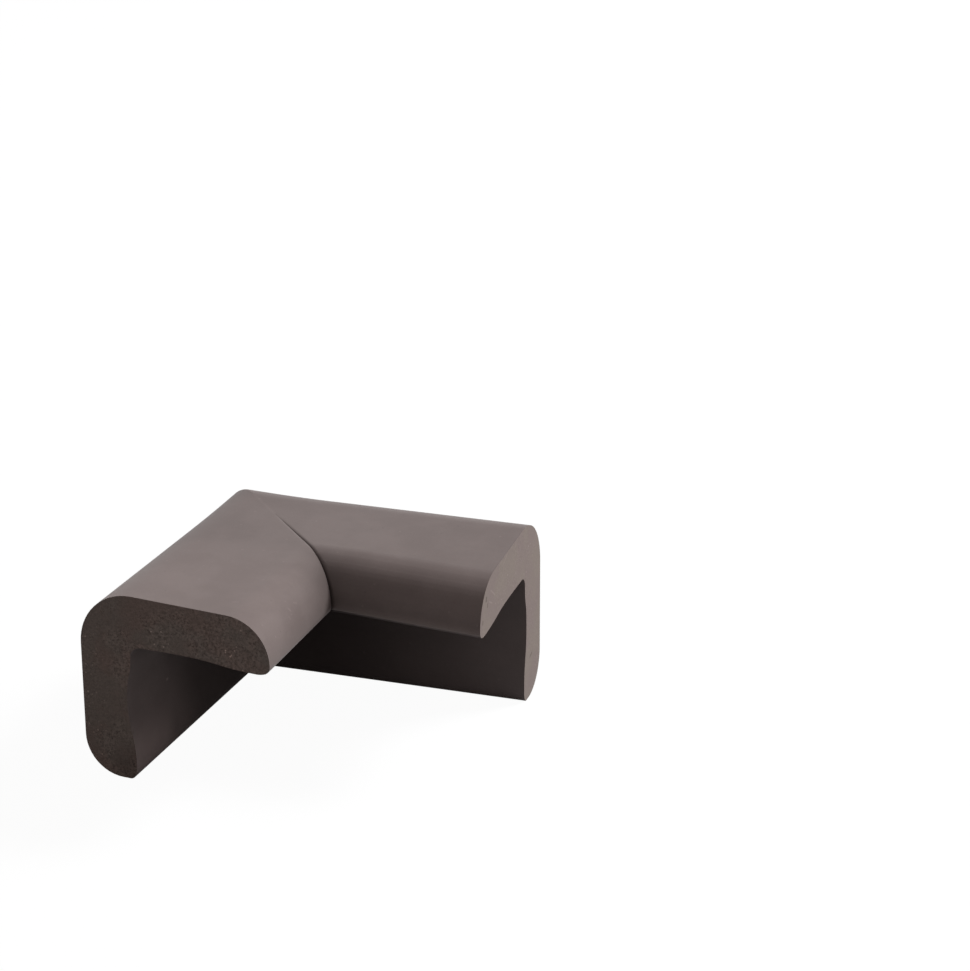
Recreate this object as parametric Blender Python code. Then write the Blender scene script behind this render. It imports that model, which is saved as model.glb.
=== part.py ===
"""Corner protector of closed-cell foam, folded from one length of L-section strip.

The strip has a flange that lies on the table top and a wall that hangs down its side.
A notch is cut through the flange at mid length, the wall is folded round at the notch
and the two cut edges of the flange are bonded, so the flange shows one fine mitre seam
and the wall runs on unbroken round the corner.

Frame: +Z up, the feet of the wall stand on z = 0, origin under the middle of the bounding
box.  The left arm runs towards -Y, the right arm towards +X, the outer corner is at
-X, +Y and the hollow that takes the table corner opens towards +X, -Y.

Section coordinates: w is measured inwards from the outer face of the wall, z upwards.
"""
import math

import bmesh
import bpy
from mathutils import Matrix, Vector

MM = 0.001

# Driving sizes of the section
HEIGHT = 35.0 * MM            # foot of the wall to the top of the flange
FLANGE = 36.7 * MM            # outer face of the wall to the nose of the flange
CORNER_RADIUS = 10.2 * MM     # outer edge between wall and flange
NOSE_RADIUS = 8.0 * MM        # upper edge of the nose
FOOT_RADIUS = 7.2 * MM        # outer edge of the foot
ROOT_FILLET = 2.0 * MM        # inner corner between wall and flange
FLANGE_ROOT = 9.5 * MM        # flange thickness next to the inner corner
FLANGE_HOLLOW = 9.2 * MM      # flange thickness in its shallow hollow
FLANGE_LIP = 9.9 * MM         # flange thickness at the lip next to the nose
WALL_ROOT = 9.7 * MM          # wall thickness next to the inner corner
WALL_HOLLOW = 8.7 * MM        # wall thickness in its shallow hollow
WALL_LIP = 10.0 * MM          # wall thickness at the lip above the foot
NOSE_EDGE = (2.8 * MM, 1.6 * MM)    # rounding under the nose: along and across the flange
FOOT_EDGE = (2.0 * MM, 1.0 * MM)    # rounding inside the foot: along and across the wall

# Driving sizes of the folded piece
LEFT_ARM = 60.5 * MM          # crossing of the outer faces to the left cut end
RIGHT_ARM = 62.4 * MM         # crossing of the outer faces to the right cut end
LEFT_CUT = math.radians(1.8)        # how far the left cut is off square
RIGHT_CUT = math.radians(0.7)       # how far the right cut is off square
FOLD_ANGLE = math.radians(92.4)     # angle between the arms: the foam springs open a little
FOLD_RADIUS = 7.9 * MM        # outer face of the wall where it folds round, at the foot
FOLD_TIGHT = 4.0 * MM         # the same under the flange, whose bond pulls the wall in
FOLD_LEAST = 1.5 * MM         # rounding that stays on the ridge above the wall
CORNER_LIFT = 1.3 * MM        # how far the fold squeezes the top up at the outer corner
CORNER_REACH = 24.0 * MM      # distance from the outer corner at which that dies out
CORNER_SKIN = 8.0 * MM        # and the depth below the top at which it does
LEFT_SAG = 0.7 * MM           # how far the nose hangs down at the left cut end
RIGHT_SAG = 1.4 * MM          # how far the nose hangs down at the right cut end
SEAM_DEPTH = 0.3 * MM         # depth of the seam groove along the mitre
SEAM_LIP = 0.6 * MM           # width of the rounded lip on each side of the seam
SEAM_START = 17.0 * MM        # the seam opens this far in from the outer face
SEAM_RAMP = 11.0 * MM         # length over which it reaches its full depth

# Steps of the curves
ARC_STEPS = 12
EDGE_STEPS = 5
BLEND_STEPS = 6
FOLD_STEPS = 10
ARM_STATIONS = 8
CORNER_STATIONS = 4
MERGE = 0.000001

COLLECTION = "corner_protector"


def arc(centre, along, across, start, stop, steps):
    """Points of an elliptical arc, first and last included; angles in degrees."""
    points = []
    for step in range(steps + 1):
        angle = math.radians(start + (stop - start) * step / steps)
        w = centre[0] + along * math.cos(angle)
        z = centre[1] + across * math.sin(angle)
        points.append((w, z))
    return points


def blend(place_0, place_1, depth_0, depth_1, steps):
    """Places and depths along a smooth change of thickness, first and last included."""
    points = []
    for step in range(steps + 1):
        share = step / steps
        ease = 0.5 - 0.5 * math.cos(math.pi * share)
        place = place_0 + (place_1 - place_0) * share
        points.append((place, depth_0 + (depth_1 - depth_0) * ease))
    return points


def section():
    """Closed outline of the strip as (w, z), round from the outer face of the wall."""
    root_w = WALL_ROOT + ROOT_FILLET
    root_z = HEIGHT - FLANGE_ROOT - ROOT_FILLET
    nose_w = FLANGE - NOSE_EDGE[0]
    foot_z = FOOT_EDGE[0]
    span_w = nose_w - root_w
    span_z = root_z - foot_z

    outline = []
    outline += arc((CORNER_RADIUS, HEIGHT - CORNER_RADIUS), CORNER_RADIUS, CORNER_RADIUS,
                   180.0, 90.0, ARC_STEPS)
    outline += arc((FLANGE - NOSE_RADIUS, HEIGHT - NOSE_RADIUS), NOSE_RADIUS, NOSE_RADIUS,
                   90.0, 0.0, ARC_STEPS)
    lip_z = HEIGHT - FLANGE_LIP
    outline += arc((nose_w, lip_z + NOSE_EDGE[1]), NOSE_EDGE[0], NOSE_EDGE[1],
                   0.0, -90.0, EDGE_STEPS)

    # Underside of the flange: lip, shallow hollow, root
    under = blend(nose_w - 0.10 * span_w, nose_w - 0.50 * span_w,
                  FLANGE_LIP, FLANGE_HOLLOW, BLEND_STEPS)
    under += blend(nose_w - 0.60 * span_w, root_w + 0.04 * span_w,
                   FLANGE_HOLLOW, FLANGE_ROOT, BLEND_STEPS)
    outline += [(place, HEIGHT - depth) for place, depth in under]
    outline += arc((root_w, root_z), ROOT_FILLET, ROOT_FILLET, 90.0, 180.0, EDGE_STEPS)

    # Inner face of the wall: root, flat-bottomed hollow, lip
    inner = blend(root_z - 0.06 * span_z, root_z - 0.28 * span_z,
                  WALL_ROOT, WALL_HOLLOW, BLEND_STEPS)
    inner += blend(root_z - 0.50 * span_z, root_z - 0.88 * span_z,
                   WALL_HOLLOW, WALL_LIP, BLEND_STEPS)
    outline += [(depth, place) for place, depth in inner]
    outline += arc((WALL_LIP - FOOT_EDGE[1], foot_z), FOOT_EDGE[1], FOOT_EDGE[0],
                   0.0, -90.0, EDGE_STEPS)
    outline += arc((FOOT_RADIUS, FOOT_RADIUS), FOOT_RADIUS, FOOT_RADIUS,
                   -90.0, -180.0, ARC_STEPS)
    return outline


def everything(bm):
    """All vertices, edges and faces."""
    return bm.verts[:] + bm.edges[:] + bm.faces[:]


def slice_at(bm, point, normal, clear=False):
    """Cut the mesh through with a plane; clear drops what lies ahead of the plane."""
    bmesh.ops.bisect_plane(bm, geom=everything(bm), dist=MERGE, plane_co=point,
                           plane_no=normal, clear_outer=clear)


def draw_arm(bm, half_fold, setback, length):
    """Straight arm along +X with its wall face on y = 0, ended by the mitre plane.

    The strip beside the fold is left open for the wall that is carried round it.
    """
    corners = [bm.verts.new((setback, w, z)) for w, z in section()]
    loop = [bm.edges.new((corners[i - 1], corners[i])) for i in range(len(corners))]
    drawn = bmesh.ops.extrude_edge_only(bm, edges=loop)["geom"]
    far = [item for item in drawn if isinstance(item, bmesh.types.BMVert)]
    bmesh.ops.translate(bm, verts=far, vec=(length - setback, 0.0, 0.0))

    slice_at(bm, (0.0, FOLD_RADIUS, 0.0), (0.0, 1.0, 0.0))
    for share in (0.0, 0.5, 1.0):
        slice_at(bm, (0.0, SEAM_START + SEAM_RAMP * share, 0.0), (0.0, 1.0, 0.0))
    for step in range(1, CORNER_STATIONS + 1):
        place = setback + (CORNER_REACH - setback) * step / CORNER_STATIONS
        slice_at(bm, (place, 0.0, 0.0), (1.0, 0.0, 0.0))
    first = FLANGE / math.tan(half_fold) + 2.0 * SEAM_LIP
    for step in range(ARM_STATIONS):
        place = first + (length - first) * step / ARM_STATIONS
        slice_at(bm, (place, 0.0, 0.0), (1.0, 0.0, 0.0))

    towards_corner = Vector((-math.sin(half_fold), math.cos(half_fold), 0.0))
    bend_axis = Vector((setback, FOLD_RADIUS, 0.0))
    for share in (1.0, 0.45):
        slice_at(bm, bend_axis - towards_corner * SEAM_LIP * share, towards_corner)
    slice_at(bm, bend_axis, towards_corner, clear=True)
    return towards_corner, bend_axis


def fold_wall(bm, half_fold, setback, bend_axis):
    """Carry the wall round the fold as far as the mitre plane."""
    rim = []
    for edge in bm.edges:
        if edge.is_boundary and all(abs(v.co.x - setback) < MERGE for v in edge.verts):
            rim.append(edge)
    rim_verts = list({v for edge in rim for v in edge.verts})
    bmesh.ops.spin(bm, geom=rim_verts + rim, cent=bend_axis, axis=(0.0, 0.0, 1.0),
                   dvec=(0.0, 0.0, 0.0), angle=half_fold - math.pi / 2.0,
                   steps=FOLD_STEPS, use_merge=False, use_duplicate=False)
    tighten_fold(bm, half_fold, setback, bend_axis)
    bmesh.ops.remove_doubles(bm, verts=bm.verts[:], dist=MERGE)


def tighten_fold(bm, half_fold, setback, bend_axis):
    """Let the fold grow tighter from the foot of the wall up to the flange.

    A point of the fold at depth w goes straight on past the start of the fold and then
    round an arc of its own; both end in the mitre plane.
    """
    whole_turn = math.pi / 2.0 - half_fold
    for vert in bm.verts:
        arm = vert.co - bend_axis
        if arm.x > -MERGE or arm.y > -MERGE:
            continue
        w = FOLD_RADIUS - math.hypot(arm.x, arm.y)
        share = math.atan2(-arm.x, -arm.y) / whole_turn
        height = (vert.co.z - FOOT_RADIUS) / (HEIGHT - CORNER_RADIUS - FOOT_RADIUS)
        height = min(1.0, max(0.0, height))
        radius = FOLD_RADIUS + (FOLD_TIGHT - FOLD_RADIUS) * height - w
        radius = max(radius, FOLD_LEAST * math.sqrt(max(0.0, 1.0 - w / FOLD_RADIUS)))
        radius = min(radius, FOLD_RADIUS - w)
        straight = setback - (w + radius) / math.tan(half_fold)
        first_part = 0.35 * straight / (straight + 1.0 * MM)
        if share < first_part:
            vert.co.x = setback - straight * share / first_part
            vert.co.y = w
        else:
            turn = whole_turn * (share - first_part) / (1.0 - first_part)
            vert.co.x = setback - straight - radius * math.sin(turn)
            vert.co.y = w + radius - radius * math.cos(turn)


def press_seam(bm, half_fold, towards_corner, bend_axis):
    """Draw the skin in along the mitre, so that the bonded edges meet in a groove."""
    centre_w = FLANGE - NOSE_RADIUS
    centre_z = HEIGHT - NOSE_RADIUS
    lowest = HEIGHT - FLANGE_LIP + 0.3 * NOSE_EDGE[1]
    for vert in bm.verts:
        gap = -(vert.co - bend_axis).dot(towards_corner)
        w = vert.co.y
        z = vert.co.z
        on_skin = z > HEIGHT - MERGE or (w > centre_w and z > lowest)
        if not on_skin or gap > 0.9 * SEAM_LIP or w < SEAM_START:
            continue
        ramp = min(1.0, (w - SEAM_START) / SEAM_RAMP)
        near = 1.0 - gap / SEAM_LIP
        inwards = Vector((min(0.0, centre_w - w), min(0.0, centre_z - z))).normalized()
        press = inwards * SEAM_DEPTH * ramp * near ** 2
        vert.co += Vector((press.x / math.tan(half_fold), press.x, press.y))


def raise_corner(bm):
    """Fill out the outer corner of the flange, where the fold squeezes the foam up."""
    for vert in bm.verts:
        near = max(0.0, 1.0 - math.hypot(vert.co.x, vert.co.y) / CORNER_REACH)
        high = max(0.0, 1.0 - (HEIGHT - vert.co.z) / CORNER_SKIN)
        vert.co.z += CORNER_LIFT * (near * high) ** 2


def hang_flange(verts, length, sag):
    """Let the flange hang down at its nose, from nothing at the mitre to sag at the end."""
    reach = FLANGE - CORNER_RADIUS
    for vert in verts:
        out = max(0.0, vert.co.y - CORNER_RADIUS) / reach
        along = min(1.0, max(0.0, (vert.co.x - FLANGE) / (length - FLANGE)))
        vert.co.z -= sag * out * along


def mirror_arm(bm, across):
    """Add the other arm, mirrored through the mitre plane, and join the two."""
    first_verts = bm.verts[:]
    copied = bmesh.ops.duplicate(bm, geom=everything(bm))["geom"]
    copied_verts = [item for item in copied if isinstance(item, bmesh.types.BMVert)]
    hang_flange(first_verts, LEFT_ARM, LEFT_SAG)
    hang_flange(copied_verts, RIGHT_ARM, RIGHT_SAG)
    flip = Matrix.Scale(-1.0, 4, across)
    bmesh.ops.transform(bm, matrix=flip, verts=copied_verts)
    bmesh.ops.remove_doubles(bm, verts=bm.verts[:], dist=MERGE)


def cut_end(bm, outwards, inwards, length, skew):
    """Cut one arm to length with a straight upright cut and close the cut face."""
    point = outwards * length
    normal = outwards * math.cos(skew) - inwards * math.sin(skew)
    slice_at(bm, point, normal, clear=True)
    rim = [edge for edge in bm.edges if edge.is_boundary]
    bmesh.ops.contextual_create(bm, geom=rim)


def build_protector():
    """The folded piece, one closed body."""
    half_fold = FOLD_ANGLE / 2.0
    setback = FOLD_RADIUS / math.tan(half_fold)
    length = max(LEFT_ARM, RIGHT_ARM)
    blank = length + FLANGE * math.tan(max(abs(LEFT_CUT), abs(RIGHT_CUT))) + 1.0 * MM

    bm = bmesh.new()
    towards_corner, bend_axis = draw_arm(bm, half_fold, setback, blank)
    fold_wall(bm, half_fold, setback, bend_axis)
    press_seam(bm, half_fold, towards_corner, bend_axis)
    raise_corner(bm)
    mirror_arm(bm, towards_corner)
    left = Vector((1.0, 0.0, 0.0))
    right = Vector((math.cos(FOLD_ANGLE), math.sin(FOLD_ANGLE), 0.0))
    cut_end(bm, left, Vector((0.0, 1.0, 0.0)), LEFT_ARM, LEFT_CUT)
    inwards = Vector((math.sin(FOLD_ANGLE), -math.cos(FOLD_ANGLE), 0.0))
    cut_end(bm, right, inwards, RIGHT_ARM, RIGHT_CUT)
    bmesh.ops.recalc_face_normals(bm, faces=bm.faces[:])

    turn = Matrix.Rotation(-math.pi / 4.0 - half_fold, 4, "Z")
    bmesh.ops.transform(bm, matrix=turn, verts=bm.verts[:])
    xs = [vert.co.x for vert in bm.verts]
    ys = [vert.co.y for vert in bm.verts]
    middle = Vector(((min(xs) + max(xs)) / 2.0, (min(ys) + max(ys)) / 2.0, 0.0))
    bmesh.ops.translate(bm, verts=bm.verts[:], vec=-middle)
    return bm


def foam_material():
    """Dark grey-brown closed-cell foam."""
    material = bpy.data.materials.new("protector_foam")
    material.use_nodes = True
    shader = material.node_tree.nodes["Principled BSDF"]
    shader.inputs["Base Color"].default_value = (0.155, 0.125, 0.115, 1.0)
    shader.inputs["Roughness"].default_value = 0.6
    return material


def main():
    for item in list(bpy.data.objects):
        bpy.data.objects.remove(item, do_unlink=True)
    collection = bpy.data.collections.new(COLLECTION)
    bpy.context.scene.collection.children.link(collection)

    bm = build_protector()
    mesh = bpy.data.meshes.new("protector")
    bm.to_mesh(mesh)
    bm.free()
    body = bpy.data.objects.new("protector", mesh)
    collection.objects.link(body)
    mesh.materials.append(foam_material())
    mesh.shade_smooth()
    mesh.set_sharp_from_angle(angle=math.radians(35.0))


main()
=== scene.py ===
# %% [markdown]
# # A foam corner protector
#
# The piece guards the corner of a table. It is one length of soft foam strip with an
# L-shaped section: a flange that lies on the table top and a wall that hangs down its
# side. The strip is notched, folded round the corner and bonded along a mitre. This
# lesson builds its dressed form, its two kinds of surface (the moulded skin and the cut
# ends), a plain studio and a camera.
#
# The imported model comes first. It fixes the frame: metres, +Z up, the feet of the wall
# on z = 0, the outer corner at -X and +Y.

# %% Load the frame
import math

import bmesh
import bpy
from mathutils import Matrix, Vector


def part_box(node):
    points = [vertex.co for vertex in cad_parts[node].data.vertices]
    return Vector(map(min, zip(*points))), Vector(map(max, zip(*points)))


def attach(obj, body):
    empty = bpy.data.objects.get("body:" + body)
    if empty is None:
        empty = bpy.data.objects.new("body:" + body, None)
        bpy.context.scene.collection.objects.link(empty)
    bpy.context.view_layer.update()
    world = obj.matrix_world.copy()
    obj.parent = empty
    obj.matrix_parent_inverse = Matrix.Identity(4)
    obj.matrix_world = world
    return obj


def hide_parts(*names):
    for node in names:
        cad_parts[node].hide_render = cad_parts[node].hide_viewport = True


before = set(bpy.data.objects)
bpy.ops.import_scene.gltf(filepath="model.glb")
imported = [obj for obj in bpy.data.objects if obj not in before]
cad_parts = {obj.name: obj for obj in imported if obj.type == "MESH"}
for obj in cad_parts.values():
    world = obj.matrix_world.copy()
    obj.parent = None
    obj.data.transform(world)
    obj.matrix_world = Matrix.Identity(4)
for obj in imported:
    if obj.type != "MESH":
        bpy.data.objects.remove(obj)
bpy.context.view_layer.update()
box_low, box_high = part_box("protector")
scene = bpy.context.scene
MM = 0.001
print("frame box in mm:", [round(side / MM, 1) for side in box_high - box_low])

# %% [markdown]
# ## The section of the strip
#
# A foam strip like this is pushed through a die, so every cross section is the same. The
# die is easiest to describe as a sharp-cornered outline whose corners are then rounded,
# each with its own radius: a large one outside, where a child's head may hit, small ones
# inside. Both inner faces are a little hollow between their lips.
#
# w is measured inwards from the outer face of the wall, z upwards from its feet. Each
# corner below is (w, z, rounding, steps), all in millimetres. What lies deeper than
# INNER_FROM and lower than INNER_BELOW is an inner face.

# %% Outline of the die
HEIGHT = 35.0
FLANGE = 36.7
CORNER_RADIUS = 10.2
NOSE_RADIUS = 8.0
FLANGE_CORNERS = [
    (0.0, HEIGHT, CORNER_RADIUS, 16),
    (FLANGE, HEIGHT, NOSE_RADIUS, 14),
    (FLANGE, 25.9, 0.9, 4),
    (35.1, 25.1, 1.3, 5),
    (30.0, 25.1, 3.0, 5),
    (24.0, 25.8, 2.4, 4),
    (18.0, 25.8, 2.2, 4),
    (9.7, 25.5, 2.0, 6),
]
WALL_CORNERS = [
    (9.7, 21.6, 1.2, 4),
    (8.7, 17.9, 1.6, 4),
    (8.7, 12.2, 1.6, 4),
    (10.0, 5.6, 1.8, 4),
    (10.0, 1.3, 0.6, 3),
    (9.3, 0.0, 0.6, 3),
    (0.0, 0.0, 7.2, 12),
]
CORNERS = FLANGE_CORNERS + WALL_CORNERS
INNER_FROM = 8.6
INNER_BELOW = 26.0
print("corners of the outline:", len(CORNERS))


# %% [markdown]
# ## Helpers for a bmesh
#
# Three small helpers keep the steps readable: all of the geometry as one list, a straight
# slice through it, and a pass that merges doubled points.

# %% Small bmesh helpers
CUT_TOLERANCE = 1e-7
MERGE_DISTANCE = 2e-6
TOUCHING = 1e-6


def everything(bm):
    return bm.verts[:] + bm.edges[:] + bm.faces[:]


def slice_at(bm, point, normal, clear=False):
    bmesh.ops.bisect_plane(bm, geom=everything(bm), dist=CUT_TOLERANCE,
                           plane_co=point, plane_no=normal, clear_outer=clear)


def merge(bm):
    bmesh.ops.remove_doubles(bm, verts=bm.verts[:], dist=MERGE_DISTANCE)


# %% [markdown]
# ## Draw the strip
#
# One face with the sharp outline is extruded along X, then the long edges are beveled one
# radius at a time. Beveling after the extrusion rounds the whole strip in one go, as the
# die does. A profile of 0.5 makes each rounding a true arc. The faces that grip the table
# get a slot of their own, because they are duller than the outside and carry painted light
# and painted shade.

# %% Extrude the outline and round its long edges
SKIN_SLOT, LEFT_CUT_SLOT, INNER_SLOT, RIGHT_CUT_SLOT = range(4)
LONG = 5.0 * MM
SAME_PLACE = 0.02 * MM


def long_edges(bm, w, z):
    place = Vector((w, z)) * MM
    found = []
    for edge in bm.edges:
        a, b = (vert.co for vert in edge.verts)
        if abs(a.x - b.x) > LONG and (a.yz - place).length < SAME_PLACE:
            found.append(edge)
    return found


def draw_strip(start, length):
    bm = bmesh.new()
    rim = [bm.verts.new((start, w * MM, z * MM)) for w, z, _, _ in CORNERS]
    face = bm.faces.new(rim)
    drawn = bmesh.ops.extrude_face_region(bm, geom=[face])["geom"]
    far = [item for item in drawn if isinstance(item, bmesh.types.BMVert)]
    bmesh.ops.translate(bm, verts=far, vec=(length - start, 0.0, 0.0))
    for w, z, radius, steps in CORNERS:
        bmesh.ops.bevel(bm, geom=long_edges(bm, w, z), offset=radius * MM,
                        offset_type="OFFSET", segments=steps, profile=0.5,
                        affect="EDGES", material=-1, clamp_overlap=True)
    for face in bm.faces:
        middle = face.calc_center_median() / MM
        inside = middle.y > INNER_FROM and middle.z < INNER_BELOW
        face.material_index = INNER_SLOT if inside else SKIN_SLOT
    return bm


test = draw_strip(0.0, 60.0 * MM)
print("faces of the plain strip:", len(test.faces))
test.free()

# %% [markdown]
# ## Coordinates that follow the strip
#
# The skin of extruded foam carries faint lines along the strip, also where the wall goes
# round the fold. Object coordinates would cross that fold, so each point gets its own pair
# of strip coordinates while the strip is still straight: how far along it lies, and how
# far round the section. Slices and spins later carry them on by themselves.

# %% Store the strip coordinates
END_CORNERS = 20


def lay_coordinates(bm):
    """Store them, open both ends, and return the way round the section."""
    along = bm.verts.layers.float.new("along")
    around = bm.verts.layers.float.new("around")
    bm.verts.layers.float.new("seam")
    bm.verts.layers.float.new("crease_shade")
    # edge holds painted light and painted shade for the long upper roundings
    bm.verts.layers.float.new("edge")
    ends = [face for face in bm.faces if len(face.verts) > END_CORNERS]
    for face in ends:
        loops = sorted(face.loops, key=lambda loop: (loop.vert.co.z, loop.vert.co.y))
        loop = loops[0]
        forward = face.normal.x < 0.0
        travelled = 0.0
        for _ in range(len(face.loops)):
            loop.vert[around] = travelled
            step = loop.link_loop_next if forward else loop.link_loop_prev
            travelled += (step.vert.co - loop.vert.co).length
            loop = step
    for vert in bm.verts:
        vert[along] = vert.co.x
    bmesh.ops.delete(bm, geom=ends, context="FACES_ONLY")
    return travelled


# %% [markdown]
# ## Cut the mitre and fold the wall
#
# A notch through the flange turns the strip into two mitred flanges, while the wall is
# left whole and goes round the corner. So the arm is cut with the mitre plane, and the
# wall alone is carried round the fold with a spin about an upright axis. The fold is no
# plain arc: the flange holds the wall, so its skin is drawn tight below the top and opens
# out to the full radius at the foot. Each point of the spin is moved to its own radius.
# Extra slices give the skin enough points for the relief; they lie closer at the seam.

# %% Sizes of the fold
FOLD_ANGLE = math.radians(92.4)
FOLD_RADIUS = 7.9 * MM          # outer radius of the wall at its foot
FOLD_TIGHT = 4.0 * MM           # its radius under the flange
FOLD_LEAST = 1.5 * MM           # rounding that stays on the ridge above the wall
FOOT_RADIUS = 7.2 * MM
LEFT_ARM = 60.5 * MM
RIGHT_ARM = 62.4 * MM
LEFT_CUT = math.radians(1.8)
RIGHT_CUT = math.radians(0.7)
half_fold = FOLD_ANGLE / 2.0
setback = FOLD_RADIUS / math.tan(half_fold)
to_corner = Vector((-math.sin(half_fold), math.cos(half_fold), 0.0))
bend_axis = Vector((setback, FOLD_RADIUS, 0.0))
arm_length = max(LEFT_ARM, RIGHT_ARM)
GRID = 1.3 * MM
SLIVER = 0.4 * GRID             # no slice lies closer to the start of the fold
END_SPARE = 3.0 * MM            # length that the cuts at the ends take off
SEAM_SLICES = [0.08, 0.18, 0.32, 0.55, 0.9, 1.4]
FOLD_STEPS = 14
STRAIGHT_STEPS = 0.35           # share of them at most that goes straight on
print("the fold starts this far from the corner, in mm:", round(setback / MM, 2))


# %% Make one arm
def make_arm():
    bm = draw_strip(setback, arm_length + END_SPARE)
    outline = lay_coordinates(bm)
    slice_at(bm, (0.0, FOLD_RADIUS, 0.0), (0.0, 1.0, 0.0))
    for step in range(1, int(arm_length / GRID) + 2):
        if step * GRID > setback + SLIVER:
            slice_at(bm, (step * GRID, 0.0, 0.0), (1.0, 0.0, 0.0))
    for step in range(1, int(FLANGE * MM / GRID)):
        slice_at(bm, (0.0, step * GRID, 0.0), (0.0, 1.0, 0.0))
        slice_at(bm, (0.0, 0.0, step * GRID), (0.0, 0.0, 1.0))
    for gap in SEAM_SLICES:
        slice_at(bm, bend_axis - to_corner * gap * MM, to_corner)
    slice_at(bm, bend_axis, to_corner, clear=True)
    return bm, outline


def fold_radius(w, z):
    """Radius of the arc that the skin follows at depth w and height z."""
    top = (HEIGHT - CORNER_RADIUS) * MM
    height = min(1.0, max(0.0, (z - FOOT_RADIUS) / (top - FOOT_RADIUS)))
    radius = FOLD_RADIUS + (FOLD_TIGHT - FOLD_RADIUS) * height - w
    least = FOLD_LEAST * math.sqrt(max(0.0, 1.0 - w / FOLD_RADIUS))
    return min(max(radius, least), FOLD_RADIUS - w)


def fold_wall(bm):
    """Spin the wall's rim to the mitre plane, then move each point to its own radius.

    A point goes straight on past the start of the fold first, where its radius is small.
    """
    rim = [edge for edge in bm.edges if edge.is_boundary
           and all(abs(vert.co.x - setback) < TOUCHING for vert in edge.verts)]
    points = list(dict.fromkeys(vert for edge in rim for vert in edge.verts))
    before = set(bm.verts)
    bmesh.ops.spin(bm, geom=points + rim, cent=bend_axis, axis=(0.0, 0.0, 1.0),
                   dvec=(0.0, 0.0, 0.0), angle=half_fold - math.pi / 2.0, steps=FOLD_STEPS,
                   use_merge=False, use_duplicate=False)
    along = bm.verts.layers.float["along"]
    whole_turn = math.pi / 2.0 - half_fold
    for vert in bm.verts:
        arm = vert.co - bend_axis
        if vert in before or arm.x > -TOUCHING:
            continue
        w = FOLD_RADIUS - math.hypot(arm.x, arm.y)
        share = math.atan2(-arm.x, -arm.y) / whole_turn
        radius = fold_radius(w, vert.co.z)
        straight = setback - (w + radius) / math.tan(half_fold)
        first = STRAIGHT_STEPS * straight / (straight + MM)
        turned = max(0.0, (share - first) / (1.0 - first)) * whole_turn
        passed = straight * min(1.0, share / first) if first > 0.0 else 0.0
        vert.co.x = setback - passed - radius * math.sin(turned)
        vert.co.y = w + radius - radius * math.cos(turned)
        vert[along] = setback - passed - (w + radius) * turned
    merge(bm)


arm, outline_length = make_arm()
fold_wall(arm)
print("way round the section in mm:", round(outline_length / MM, 1))
print("faces of one arm:", len(arm.faces))

# %% [markdown]
# ## The bonded seam and the hang of the flange
#
# The two cut edges are glued edge to edge. The skin is drawn in there, which leaves a fine
# groove with soft lips on the flange, deepest at the nose and gone before the fold. The
# folding squeezes the foam up at the outer corner, by less than half a millimetre. The
# flange is only held at the wall and along the seam, so it hangs a little towards its nose,
# most at the free ends. All are smooth moves of the points, worked out from where a point
# lies. The same pass notes how near the seam a point is: for a dark line in the groove,
# part glue line and part painted shade, for a painted highlight along the seam before the
# groove, and for the painted shade of the crease.

# %% Press the seam and let the flange hang
SEAM_DEPTH = 0.3 * MM
SEAM_LIP = 0.6 * MM
SEAM_START = 17.0 * MM
SEAM_RAMP = 11.0 * MM
# the dark seam line is part glue line, part painted shade of the groove
SEAM_LINE = 0.4 * MM            # half width of the dark line in the groove
LIP_TOP = 25.7 * MM             # the skin of the nose ends here
# the pale hint is a painted highlight along the seam before the groove
HINT_START = 9.0 * MM           # before the groove the seam shows as a pale hint
HINT_LINE = 0.5 * MM
HINT_PAINTED_HIGHLIGHT = -0.25
# CREASE and CREASE_TURN shape a painted shade beside the seam at the nose
CREASE = 18.0 * MM              # reach of the soft shade beside the seam at the nose
CREASE_TURN = 6.0 * MM          # depth over which that shade sets in
CORNER_LIFT = 1.3 * MM          # at the sharp corner; on the rounded skin far less
CORNER_REACH = 24.0 * MM
CORNER_SKIN = 8.0 * MM
LEFT_SAG = 0.7 * MM
RIGHT_SAG = 1.4 * MM


def press_seam(bm):
    seam = bm.verts.layers.float["seam"]
    crease_shade = bm.verts.layers.float["crease_shade"]
    centre = Vector((FLANGE - NOSE_RADIUS, HEIGHT - NOSE_RADIUS)) * MM
    for vert in bm.verts:
        gap = -(vert.co - bend_axis).dot(to_corner)
        w, z = vert.co.y, vert.co.z
        turned = min(1.0, max(0.0, w - centre.x) / CREASE_TURN)
        # painted shade in the crease
        vert[crease_shade] = turned * max(0.0, 1.0 - gap / CREASE) ** 2
        on_skin = z > (HEIGHT - 0.01) * MM or (w > centre.x and z > LIP_TOP)
        if not on_skin or gap > SEAM_LIP:
            continue
        if w < SEAM_START:
            if w > HINT_START:
                # painted highlight along the seam
                vert[seam] = HINT_PAINTED_HIGHLIGHT * max(0.0, 1.0 - gap / HINT_LINE)
            continue
        ramp = min(1.0, (w - SEAM_START) / SEAM_RAMP)
        near = max(0.0, 1.0 - gap / SEAM_LIP)
        vert[seam] = ramp * max(0.0, 1.0 - gap / SEAM_LINE)
        inwards = Vector((min(0.0, centre.x - w), min(0.0, centre.y - z))).normalized()
        press = inwards * SEAM_DEPTH * ramp * near ** 3
        vert.co += Vector((press.x / math.tan(half_fold), press.x, press.y))


def raise_corner(bm):
    for vert in bm.verts:
        near = max(0.0, 1.0 - math.hypot(vert.co.x, vert.co.y) / CORNER_REACH)
        high = max(0.0, 1.0 - (HEIGHT * MM - vert.co.z) / CORNER_SKIN)
        vert.co.z += CORNER_LIFT * (near * high) ** 2


def hang_flange(verts, length, sag):
    for vert in verts:
        out = max(0.0, vert.co.y / MM - CORNER_RADIUS) / (FLANGE - CORNER_RADIUS)
        share = (vert.co.x - FLANGE * MM) / (length - FLANGE * MM)
        vert.co.z -= sag * out * min(1.0, max(0.0, share))


press_seam(arm)
raise_corner(arm)
top = max(vert.co.z for vert in arm.verts)
print("the corner now stands this high, in mm:", round(top / MM, 2))
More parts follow.
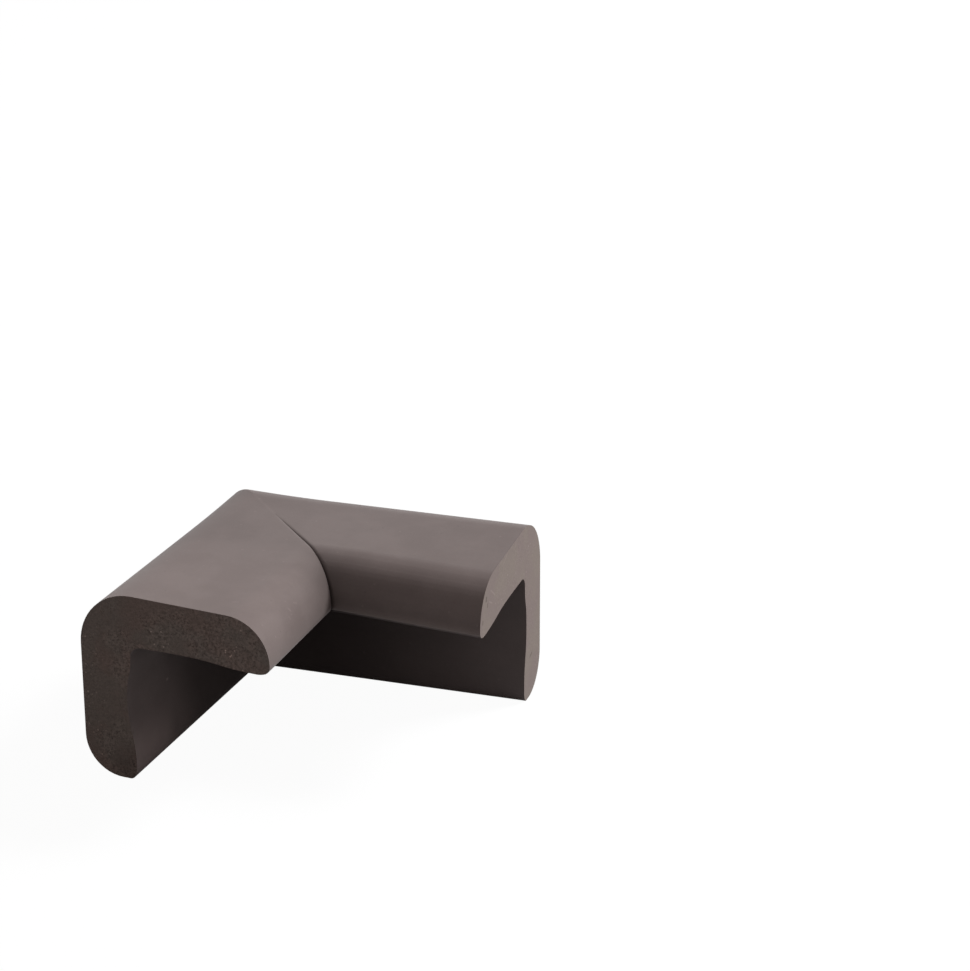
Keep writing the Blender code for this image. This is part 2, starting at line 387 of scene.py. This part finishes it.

# %% [markdown]
# ## The second arm and the cut ends
#
# The other arm is the same strip mirrored through the mitre plane, so the fine lines of
# the skin run on round the fold and meet at the seam, as they do on a real strip. Its long
# upper edge gets a little painted shade and that of the other arm a little painted light;
# both are gone down the wall and at the corner. Then each end is cut with a straight blade,
# which leaves a flat face of open cells with a crisp rim. Each cut face has its own slot:
# the right end's colour is paler, which is painted light, and the left end carries more
# torn texture.

# %% Mirror the arm
# Painted light on the first arm's long upper rounding, painted shade on the mirrored arm's
LEFT_EDGE_PAINTED_LIGHT = 0.26
RIGHT_EDGE_PAINTED_SHADE = -0.42
EDGE_FULL = 33.0 * MM
EDGE_GONE = 30.0 * MM
EDGE_FADE = 6.0 * MM


# Stores painted light (shade above 0) or painted shade (below 0) on the upper rounding
def paint_edge_light_and_shade(bm, verts, shade):
    edge = bm.verts.layers.float["edge"]
    for vert in verts:
        gap = -(vert.co - bend_axis).dot(to_corner)
        outer = max(0.0, 1.0 - vert.co.y / (CORNER_RADIUS * MM))
        high = min(1.0, max(0.0, (vert.co.z - EDGE_GONE) / (EDGE_FULL - EDGE_GONE)))
        vert[edge] = shade * outer * high * min(1.0, max(0.0, gap / EDGE_FADE))


def mirror_arm(bm):
    first = bm.verts[:]
    copied = bmesh.ops.duplicate(bm, geom=everything(bm))["geom"]
    points = [item for item in copied if isinstance(item, bmesh.types.BMVert)]
    hang_flange(first, LEFT_ARM, LEFT_SAG)
    hang_flange(points, RIGHT_ARM, RIGHT_SAG)
    paint_edge_light_and_shade(bm, first, LEFT_EDGE_PAINTED_LIGHT)
    paint_edge_light_and_shade(bm, points, RIGHT_EDGE_PAINTED_SHADE)
    bmesh.ops.transform(bm, matrix=Matrix.Scale(-1.0, 4, to_corner), verts=points)
    merge(bm)


# %% Cut the ends
def cut_end(bm, outwards, inwards, length, skew, slot):
    normal = outwards * math.cos(skew) - inwards * math.sin(skew)
    slice_at(bm, outwards * length, normal, clear=True)
    rim = [edge for edge in bm.edges if edge.is_boundary]
    for face in bmesh.ops.contextual_create(bm, geom=rim)["faces"]:
        face.material_index = slot


mirror_arm(arm)
left_out = Vector((1.0, 0.0, 0.0))
right_out = Vector((math.cos(FOLD_ANGLE), math.sin(FOLD_ANGLE), 0.0))
right_in = Vector((math.sin(FOLD_ANGLE), -math.cos(FOLD_ANGLE), 0.0))
cut_end(arm, left_out, Vector((0.0, 1.0, 0.0)), LEFT_ARM, LEFT_CUT,
        LEFT_CUT_SLOT)
cut_end(arm, right_out, right_in, RIGHT_ARM, RIGHT_CUT, RIGHT_CUT_SLOT)
bmesh.ops.recalc_face_normals(arm, faces=arm.faces[:])
print("faces of the whole piece:", len(arm.faces))

# %% Put it where the frame has it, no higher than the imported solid
turn = Matrix.Rotation(-math.pi / 4.0 - half_fold, 4, "Z")
bmesh.ops.transform(arm, matrix=turn, verts=arm.verts[:])
lowest = Vector([min(vert.co[axis] for vert in arm.verts) for axis in range(3)])
bmesh.ops.translate(arm, verts=arm.verts[:], vec=box_low - lowest)
for vert in arm.verts:
    vert.co.z = min(vert.co.z, box_high.z)
highest = Vector([max(vert.co[axis] for vert in arm.verts) for axis in range(3)])
print("off the frame's far corner by mm:", [round(v / MM, 3) for v in highest - box_high])

# %% [markdown]
# ## Make it a piece
#
# The bmesh becomes a mesh object, foam all through. It stands for the imported solid and
# rides on its only body.

# %% The dressed piece
SHARP_ANGLE = math.radians(35.0)


def make_piece(name, bm):
    mesh = bpy.data.meshes.new(name)
    bm.to_mesh(mesh)
    bm.free()
    piece = bpy.data.objects.new(name, mesh)
    scene.collection.objects.link(piece)
    mesh.shade_smooth()
    mesh.set_sharp_from_angle(angle=SHARP_ANGLE)
    return piece


guard = make_piece("foam_guard", arm)
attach(guard, "root")
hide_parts("protector")
print("piece:", guard.name, len(guard.data.polygons), "faces")


# %% [markdown]
# ## Writing shaders as sums
#
# A material's maths reads best as a sum. This class wraps one output socket: + - * and **
# on it add Math nodes, and node() adds any other node, its settings first, then its sockets.

# %% The socket class
class Wire:
    def __init__(self, socket):
        self.socket = socket

    def node(self, kind, settings=None, sockets=None, out=0):
        tree = self.socket.id_data
        made = tree.nodes.new(kind)
        for name, value in (settings or {}).items():
            setattr(made, name, value)
        for name, value in (sockets or {}).items():
            if isinstance(value, Wire):
                tree.links.new(value.socket, made.inputs[name])
            else:
                made.inputs[name].default_value = value
        return Wire(made.outputs[out])

    def maths(self, operation, first, second):
        return self.node("ShaderNodeMath", {"operation": operation}, {0: first, 1: second})

    def __add__(self, other):
        return self.maths("ADD", self, other)

    def __sub__(self, other):
        return self.maths("SUBTRACT", self, other)

    def __rsub__(self, other):
        return self.maths("SUBTRACT", other, self)

    def __mul__(self, other):
        return self.maths("MULTIPLY", self, other)

    def __pow__(self, other):
        return self.maths("POWER", self, other)

    __radd__ = __add__
    __rmul__ = __mul__


def new_finish(name):
    material = bpy.data.materials.new(name)
    material.use_nodes = True
    shader = material.node_tree.nodes["Principled BSDF"]
    start = material.node_tree.nodes.new("ShaderNodeTexCoord")
    return material, shader, Wire(start.outputs["Object"])


def feed(shader, name, wire):
    shader.id_data.links.new(wire.socket, shader.inputs[name])


def stored(place, name):
    """A value that the mesh carries at its points."""
    return place.node("ShaderNodeAttribute", {"attribute_name": name}, out=2)


# %% Patterns that both finishes use
def cloud(place, scale, detail=3.0, rough=0.55):
    """Soft noise, about 0.5 on average; scale counts its patches per metre."""
    return place.node("ShaderNodeTexNoise", {"noise_dimensions": "3D"},
                      {"Vector": place, "Scale": scale, "Detail": detail,
                       "Roughness": rough})


def cells(place, scale):
    """Scattered points: the distance to the nearest one, and its own random colour."""
    near = place.node("ShaderNodeTexVoronoi", {"feature": "F1"},
                      {"Vector": place, "Scale": scale})
    return near, Wire(near.socket.node.outputs["Color"])


def between(value, low, high):
    """0 below low, 1 above high, smooth between."""
    return value.node("ShaderNodeMapRange", {"interpolation_type": "SMOOTHSTEP"},
                      {"Value": value, "From Min": low, "From Max": high})


def tint(share, first, second):
    return share.node("ShaderNodeMix", {"data_type": "RGBA"},
                      {0: share, 6: first, 7: second}, out=2)


def grade(colour, strength):
    """A colour made lighter or darker by a value about 1."""
    level = strength.node("ShaderNodeCombineXYZ", None,
                          {"X": strength, "Y": strength, "Z": strength})
    return strength.node("ShaderNodeVectorMath", {"operation": "MULTIPLY"},
                         {0: colour, 1: level})


def mark(place, centre, along, half_length, half_width):
    """1 on a small dot or a thin streak at a point of the piece, in millimetres."""
    line = Vector(along).normalized()
    off = place.node("ShaderNodeVectorMath", {"operation": "SUBTRACT"},
                     {0: place, 1: Vector(centre) * MM})
    run = off.node("ShaderNodeVectorMath", {"operation": "DOT_PRODUCT"},
                   {0: off, 1: line}, out=1)
    far = off.node("ShaderNodeVectorMath", {"operation": "LENGTH"}, {0: off}, out=1)
    square = far * far - run * run
    side = square.maths("ABSOLUTE", square, 0.0) ** 0.5
    ends = run.maths("ABSOLUTE", run, 0.0)
    inside = 1.0 - between(side, 0.3 * half_width * MM, half_width * MM)
    return inside * (1.0 - between(ends, 0.6 * half_length * MM, half_length * MM))


def add_marks(level, place, marks):
    for centre, along, half_length, half_width, strength in marks:
        level = level + strength * mark(place, centre, along, half_length, half_width)
    return level


# %% [markdown]
# ## The moulded skin
#
# Where the foam touched the die it has a closed, satin skin: a warm grey-brown, slightly
# cloudy, with fine grain, tiny pale specks of dust, a few pits and faint lines along the
# strip. Colour moves by a few parts in a hundred; most of the life is in the roughness
# and in a shallow bump. The skin is darker in the crease of the seam, a painted shade, and
# a little paler towards the left end. The long upper edges carry painted light and painted
# shade, and a pale streak along the lower lip of the right arm's nose is a painted
# reflection of the floor. The same recipe with other numbers gives the inner faces: duller,
# with a paler colour and patches of painted light near the open ends, and painted shade
# towards the closed corner; one pale dot on them is dust. A mark is (place, direction,
# half length, half width, strength), in millimetres.

# %% The skin finish
SKIN = (0.192, 0.154, 0.145, 1.0)
SKIN_PALE = (0.216, 0.175, 0.165, 1.0)
# the inner colour is paler than the skin's: painted light near the open ends, which DEPTHS
# turns into painted shade towards the closed corner
INNER = (0.236, 0.199, 0.194, 1.0)
INNER_PALE = (0.254, 0.215, 0.209, 1.0)
DEPTHS = (20.0 * MM, 60.0 * MM)
MOTTLE_SCALE = 95.0
GRAIN_SCALE = 2300.0
LINES_SCALE = 420.0
LINES_STRETCH = 0.04
SPECKS_SCALE = 560.0
SKIN_MARKS_AND_PAINTED_REFLECTION = [
    ((-12.0, -26.0, 35.0), (1.0, 0.1, 0.0), 34.0, 30.0, 0.20),
    ((-4.50, -25.80, 34.75), (1.0, 0.35, 0.0), 0.8, 0.35, 0.12),
    ((-2.60, -26.50, 34.75), (1.0, 0.0, 0.0), 0.5, 0.35, 0.10),
    ((2.75, -19.51, 31.70), (0.3, 0.3, -0.9), 0.6, 0.30, 0.22),
    ((3.30, -20.80, 30.70), (0.3, 0.3, -0.9), 0.5, 0.25, 0.12),
    ((2.67, -16.90, 31.84), (0.5, 0.8, -0.3), 0.6, 0.30, 0.14),
    # painted reflection of the floor along the lower lip of the right arm's nose
    ((18.50, -5.10, 25.20), (1.0, 0.02, -0.05), 22.0, 2.0, 0.28),
]
INNER_DOT_AND_PAINTED_LIGHT = [
    # a pale speck of dust
    ((-23.43, -15.22, 12.69), (0.0, 1.0, 0.0), 0.5, 0.35, 0.80),
    # painted light: broader lighter patches near the left end and in the inner corner
    ((-23.50, -28.00, 3.00), (0.0, 1.0, 0.2), 24.0, 13.0, 0.50),
    ((-23.50, -28.00, 1.00), (0.0, 1.0, 0.0), 14.0, 9.0, 0.60),
    ((-23.40, 20.00, 3.00), (0.0, 1.0, 0.0), 26.0, 16.0, 0.15),
    ((-23.40, -26.00, 18.00), (0.0, 1.0, 0.0), 14.0, 8.0, 0.25),
]


def skin_finish(name, dark, pale, gloss, rough, depth_shade, marks):
    material, shader, place = new_finish(name)
    along = stored(place, "along")
    around = stored(place, "around")
    seam = stored(place, "seam")
    crease_shade = stored(place, "crease_shade")
    edge = stored(place, "edge")
    strip = place.node("ShaderNodeCombineXYZ", None,
                       {"X": along * LINES_STRETCH, "Y": around, "Z": 0.0})

    mottle = cloud(place, MOTTLE_SCALE, 5.0)
    grain = cloud(place, GRAIN_SCALE, 2.0, 0.7)
    lines = cloud(strip, LINES_SCALE, 3.0, 0.6)
    near, pick = cells(place, SPECKS_SCALE)
    lot = pick.node("ShaderNodeSeparateColor", None, {0: pick}, out=0)
    specks = (1.0 - between(near, 0.06, 0.18)) * between(lot, 0.80, 0.84)
    pits = (1.0 - between(near, 0.05, 0.16)) * (1.0 - between(lot, 0.06, 0.10))
    deep = 1.0 - between(along, *DEPTHS)

    colour = tint(between(mottle, 0.35, 0.65), dark, pale)
    level = 0.90 + 0.12 * grain + 0.08 * lines + 0.16 * specks - 0.12 * pits
    # the marks add dust, a paler patch on the top, painted light and a painted reflection
    level = add_marks(level, place, marks)
    # seam: a dark line, part glue line and part painted shade, and a painted highlight before
    # the groove; crease_shade: painted shade
    level = level * (1.0 - 0.3 * seam) * (1.0 - 0.44 * crease_shade)
    # painted shade towards the closed corner, and painted light and shade on the upper
    # roundings
    level = level * (1.0 - depth_shade * deep) * (1.0 + edge)
    feed(shader, "Base Color", grade(colour, level))
    feed(shader, "Roughness", rough + 0.08 * mottle + 0.06 * lines + 0.06 * grain)
    height = 0.35 * grain + 0.5 * lines - 0.6 * pits + 0.25 * specks
    feed(shader, "Normal", place.node("ShaderNodeBump", None,
                                      {"Strength": 1.0, "Distance": 0.015 * MM,
                                       "Height": height}))
    shader.inputs["Specular IOR Level"].default_value = gloss
    return material


# %% [markdown]
# ## The cut ends
#
# The blade opens the cells of the foam. They are well under half a millimetre across, so
# the face is matt and looks finely peppered: dark little pits and torn paler walls, with a
# few bright dots of painted highlight, over a faintly cloudy ground. There is almost no
# gloss. The left end was torn more and is darker at its foot, a painted shade; the right
# end was cut clean, its colour is paler, which is painted light, and it shows two light
# scratches and a few dark nicks. The foot's shade, the scratches and the nicks are each a
# small mask about a point of the piece.

# %% The cut finish
LEFT_CELLS = ((0.266, 0.206, 0.181, 1.0), (0.254, 0.214, 0.190, 1.0))
# the right end's colour is the same cut foam painted paler: painted light
RIGHT_CELLS_PAINTED_LIT = ((0.325, 0.262, 0.245, 1.0), (0.335, 0.278, 0.248, 1.0))
WORMS_SCALE = 2100.0
FINE_SCALE = 3000.0
COARSE_SCALE = 1400.0
CLOUDY_SCALE = 150.0
TORN_SCALE = 210.0
# painted shade at the foot of the left end
LEFT_FOOT_PAINTED_SHADE = [
    ((-19.0, -29.5, 3.0), (1.0, 0.0, 0.6), 9.0, 7.0, -0.24),
]
RIGHT_MARKS = [
    ((31.40, 26.00, 8.10), (0.0, 0.9, 0.3), 1.0, 0.30, -0.35),
    ((32.31, -1.20, 30.35), (0.0, 0.3, 1.0), 0.60, 0.45, -0.40),
    ((32.29, -0.50, 28.90), (0.0, 0.2, 1.0), 0.50, 0.40, -0.30),
    ((32.38, -3.30, 26.70), (0.0, 0.2, 1.0), 0.50, 0.40, -0.30),
    ((32.19, 2.60, 30.14), (0.0, 0.8, -0.6), 2.0, 0.22, 0.20),
    ((32.23, 1.34, 28.75), (0.0, 0.9, -0.5), 1.3, 0.20, 0.20),
    ((31.95, 10.0, 33.60), (0.0, 0.9, 0.4), 1.8, 0.20, 0.12),
]


def cut_finish(name, dark, pale, depth, marks):
    material, shader, place = new_finish(name)
    worms = between(cloud(place, WORMS_SCALE, 2.0, 0.7), 0.36, 0.64)
    fine, _ = cells(place, FINE_SCALE)
    coarse, pick = cells(place, COARSE_SCALE)
    lot = pick.node("ShaderNodeSeparateColor", None, {0: pick}, out=1)
    mottle = cloud(place, CLOUDY_SCALE, 4.0)
    small = 1.0 - between(fine, 0.15, 0.55)
    large = 1.0 - between(coarse, 0.1, 0.45)
    holes = 0.6 * small + 0.4 * large
    # painted highlights: sparse bright dots where cell walls catch the light
    painted_glints = between(lot, 0.84, 0.92) * (1.0 - between(coarse, 0.12, 0.3))
    torn = depth * (0.45 + 1.1 * between(cloud(place, TORN_SCALE, 2.0), 0.42, 0.60))
    level = 1.0 + torn * (0.12 - 0.42 * holes + 0.55 * (worms - 0.5) + 2.0 * painted_glints)
    # the left end's mark is painted shade; the right end's are nicks and scratches
    level = add_marks(level, place, marks)
    colour = tint(between(mottle, 0.38, 0.62), dark, pale)
    feed(shader, "Base Color", grade(colour, level))
    shader.inputs["Roughness"].default_value = 0.9
    feed(shader, "Normal", place.node("ShaderNodeBump", None,
                                      {"Strength": 1.0, "Distance": 0.12 * depth * MM,
                                       "Height": 1.0 - holes}))
    shader.inputs["Specular IOR Level"].default_value = 0.1
    return material


FINISHES = [
    skin_finish("moulded_skin", SKIN, SKIN_PALE, gloss=0.15, rough=0.38,
                depth_shade=0.0, marks=SKIN_MARKS_AND_PAINTED_REFLECTION),
    cut_finish("left_cut_cells", *LEFT_CELLS, depth=0.60, marks=LEFT_FOOT_PAINTED_SHADE),
    skin_finish("inner_skin", INNER, INNER_PALE, gloss=0.04, rough=0.80,
                depth_shade=0.54, marks=INNER_DOT_AND_PAINTED_LIGHT),
    cut_finish("right_cut_cells", *RIGHT_CELLS_PAINTED_LIT, depth=0.12, marks=RIGHT_MARKS),
]
for finish in FINISHES:
    guard.data.materials.append(finish)
print("finishes:", [finish.name for finish in FINISHES])

# %% [markdown]
# ## Floor, backdrop and light
#
# The piece stands in a bright studio. The light comes from one soft lamp high behind the
# right side, so the top and what faces right are bright, and what faces the viewer lies
# in soft shade. The lamp is left out of reflections, because this foam shows no highlight.
# The floor and the background are white where the camera or a reflection looks at them;
# to the foam itself they are only a dim warm grey, or the shaded faces would be flooded
# with light. A little of the floor's shadow stays.

# %% The camera's place, in the frame of the fitted view
VIEW_TURN = math.radians(19.566)
PITCH = math.radians(20.849)
ROLL = math.radians(-0.120)
FOCAL_PIXELS = 2905.8
EYE = Vector((189.03, -442.73, 230.15)) * MM
right = Vector((math.cos(VIEW_TURN), math.sin(VIEW_TURN), 0.0))
level_view = Vector((-math.sin(VIEW_TURN), math.cos(VIEW_TURN), 0.0))
print("the eye stands this far off, in m:", round(EYE.length, 2))

# %% The floor
WHITE = (1.0, 1.0, 1.0, 1.0)
FLOOR_DULL = (0.20, 0.20, 0.20, 1.0)
FLOOR_PALE = (0.06, 0.06, 0.06, 1.0)
FLOOR_GLOW = 0.96
FLOOR_SIDE = 3.0


def shown_white(tree):
    """1 for the rays that should meet white: from the camera or through a reflection."""
    rays = tree.nodes.new("ShaderNodeLightPath")
    seen = Wire(rays.outputs["Is Camera Ray"]) + Wire(rays.outputs["Is Glossy Ray"])
    return seen + Wire(rays.outputs["Is Transmission Ray"])


def floor_finish():
    material = bpy.data.materials.new("white_floor")
    material.use_nodes = True
    tree = material.node_tree
    tree.nodes.clear()
    seen = shown_white(tree)
    dull = seen.node("ShaderNodeBsdfDiffuse", None, {"Color": FLOOR_DULL})
    pale = seen.node("ShaderNodeBsdfDiffuse", None, {"Color": FLOOR_PALE})
    white = seen.node("ShaderNodeEmission", None,
                      {"Color": WHITE, "Strength": FLOOR_GLOW})
    shown = seen.node("ShaderNodeAddShader", None, {0: pale, 1: white})
    mixed = seen.node("ShaderNodeMixShader", None, {0: seen, 1: dull, 2: shown})
    output = tree.nodes.new("ShaderNodeOutputMaterial")
    tree.links.new(mixed.socket, output.inputs["Surface"])
    return material


floor_mesh = bmesh.new()
bmesh.ops.create_grid(floor_mesh, x_segments=2, y_segments=2, size=FLOOR_SIDE)
floor = make_piece("floor", floor_mesh)
floor.data.materials.append(floor_finish())
print("floor:", floor.data.materials[0].name)

# %% The world
WORLD_LEVEL = 0.21
AMBIENT = Vector((1.0, 0.89, 0.87))
world = bpy.data.worlds.new("studio")
scene.world = world
world.use_nodes = True
background = world.node_tree.nodes["Background"]
seen = shown_white(world.node_tree)
shade = (*(AMBIENT * WORLD_LEVEL), 1.0)
sky = seen.node("ShaderNodeMix", {"data_type": "RGBA", "clamp_factor": True},
                {0: seen, 6: shade, 7: WHITE}, out=2)
world.node_tree.links.new(sky.socket, background.inputs["Color"])
print("ambient light:", [round(value, 3) for value in shade[:3]])

# %% The lamp
LAMP_COLOUR = (0.97, 1.0, 1.02)


def softbox(name, to_right, away, up, size, power):
    """A square lamp that looks at the piece; its place is given as the viewer sees it."""
    light = bpy.data.lights.new(name, "AREA")
    light.shape = "SQUARE"
    light.size = size
    light.energy = power
    light.color = LAMP_COLOUR
    lamp = bpy.data.objects.new(name, light)
    lamp.location = right * to_right + level_view * away + Vector((0.0, 0.0, up))
    lamp.visible_glossy = False
    lamp.rotation_euler = (-lamp.location).to_track_quat("-Z", "Y").to_euler()
    scene.collection.objects.link(lamp)
    print("lamp", name, "stands", round(lamp.location.length, 2), "m off")


softbox("key_softbox", to_right=0.90, away=0.48, up=0.85, size=0.35, power=16.8)

# %% [markdown]
# ## The camera
#
# The photograph was taken with a long lens from above. Its place and direction come from
# fitting outlines in it, so here they are only written down: a focal length in pixels
# becomes millimetres on the sensor through the larger side of the image.

# %% The camera
SENSOR = 36.0
IMAGE_SIDE = 971.0


def aim(eye, turn, pitch, roll):
    ahead = Vector((-math.sin(turn) * math.cos(pitch), math.cos(turn) * math.cos(pitch),
                    -math.sin(pitch)))
    side = Vector((math.cos(turn), math.sin(turn), 0.0))
    up = side.cross(ahead)
    side, up = (side * math.cos(roll) + up * math.sin(roll),
                up * math.cos(roll) - side * math.sin(roll))
    matrix = Matrix((side, up, -ahead)).transposed().to_4x4()
    matrix.translation = eye
    return matrix


lens = bpy.data.cameras.new("camera")
lens.sensor_width = SENSOR
lens.lens = FOCAL_PIXELS * lens.sensor_width / IMAGE_SIDE
camera = bpy.data.objects.new("camera", lens)
scene.collection.objects.link(camera)
camera.matrix_world = aim(EYE, VIEW_TURN, PITCH, ROLL)
scene.camera = camera
print("lens in mm:", round(lens.lens, 1))

# %% [markdown]
# ## Finish
#
# The Standard view shows the colours as they are written.

# %% View settings and the end
scene.view_settings.view_transform = "Standard"
